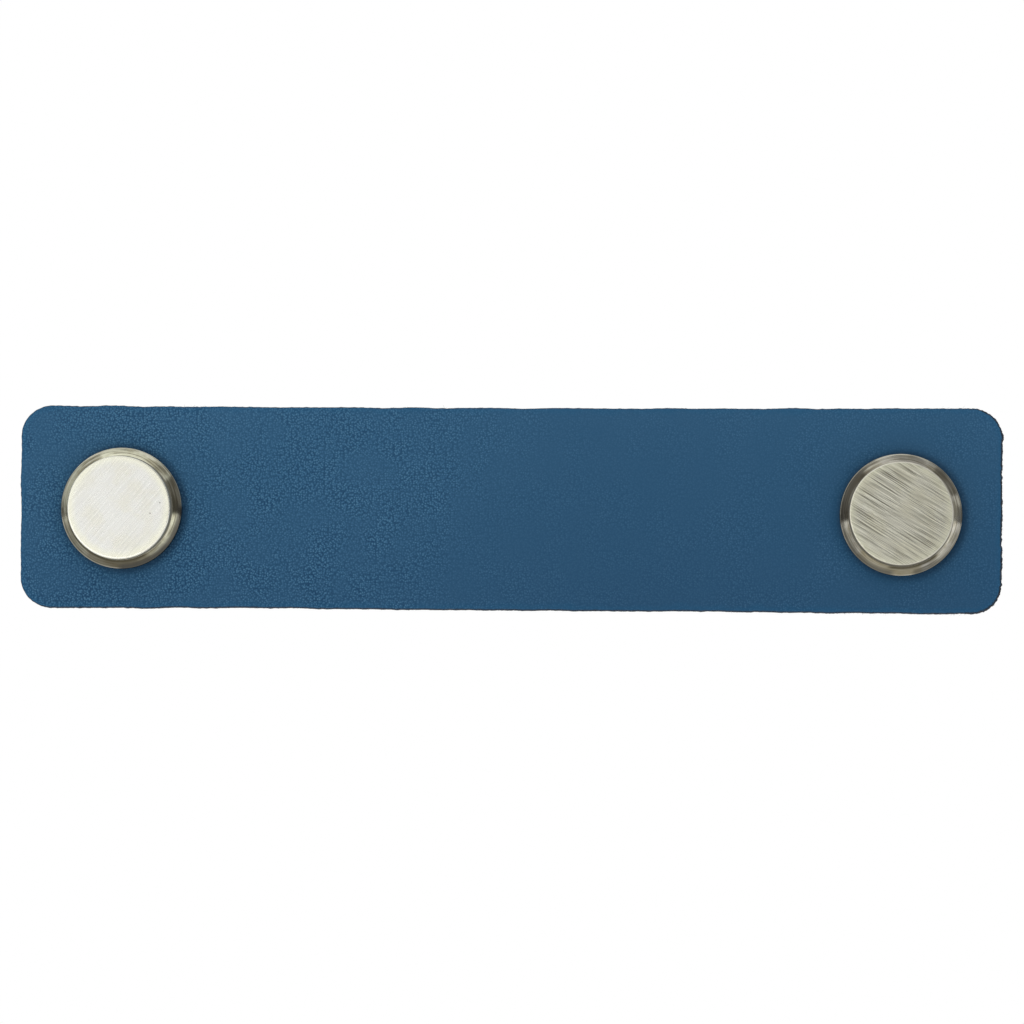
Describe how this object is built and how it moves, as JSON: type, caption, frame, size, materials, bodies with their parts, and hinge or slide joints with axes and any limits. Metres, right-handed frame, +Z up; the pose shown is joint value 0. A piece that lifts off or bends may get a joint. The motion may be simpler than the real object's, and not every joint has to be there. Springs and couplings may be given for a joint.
{
  "type": "leather drawer pull",
  "caption": "Flat leather strap pull with a round brass head on each end, held to a drawer front by machine screws from behind.",
  "frame": {"origin": "on the flat back of the strap, midway between the two screw axes", "axes": "+X along the strap from the left head to the right head as seen from the room, +Y into the drawer front, +Z up"},
  "size_m": [0.161, 0.0299, 0.0337],
  "materials": {
    "leather": "blue full-grain leather with a fine pebble grain",
    "head_brass": "antique brass, brushed face and dark patina on the bevel",
    "screw_steel": "bright zinc plated steel",
    "washer_steel": "zinc plated steel"
  },
  "bodies": {
    "strap": {"leather_strap": "leather"},
    "left_head": {"left_head": "head_brass"},
    "left_washer": {"left_washer": "washer_steel"},
    "left_screw": {"left_screw": "screw_steel"},
    "right_head": {"right_head": "head_brass"},
    "right_washer": {"right_washer": "washer_steel"},
    "right_screw": {"right_screw": "screw_steel"}
  },
  "joints": [
    {"name": "left_head_turn", "type": "hinge", "parent": "strap", "child": "left_head", "pos_m": [-0.064, 0, 0], "axis": [0, 1, 0], "continuous": true},
    {"name": "left_screw_travel", "type": "slide", "parent": "left_head", "child": "left_washer", "axis": [0, 1, 0], "range_m": [-0.0007, 0.00525]},
    {"name": "left_screw_turn", "type": "hinge", "parent": "left_washer", "child": "left_screw", "pos_m": [-0.064, 0, 0], "axis": [0, 1, 0], "range_deg": [-361, 2702]},
    {"name": "right_head_turn", "type": "hinge", "parent": "strap", "child": "right_head", "pos_m": [0.064, 0, 0], "axis": [0, 1, 0], "continuous": true},
    {"name": "right_screw_travel", "type": "slide", "parent": "right_head", "child": "right_washer", "axis": [0, 1, 0], "range_m": [-0.0007, 0.00525]},
    {"name": "right_screw_turn", "type": "hinge", "parent": "right_washer", "child": "right_screw", "pos_m": [0.064, 0, 0], "axis": [0, 1, 0], "range_deg": [-361, 2702]}
  ],
  "couplings": [
    {"joint": "left_screw_turn", "follows": "left_screw_travel", "rad_per_m": 8976},
    {"joint": "right_screw_turn", "follows": "right_screw_travel", "rad_per_m": 8976}
  ]
}
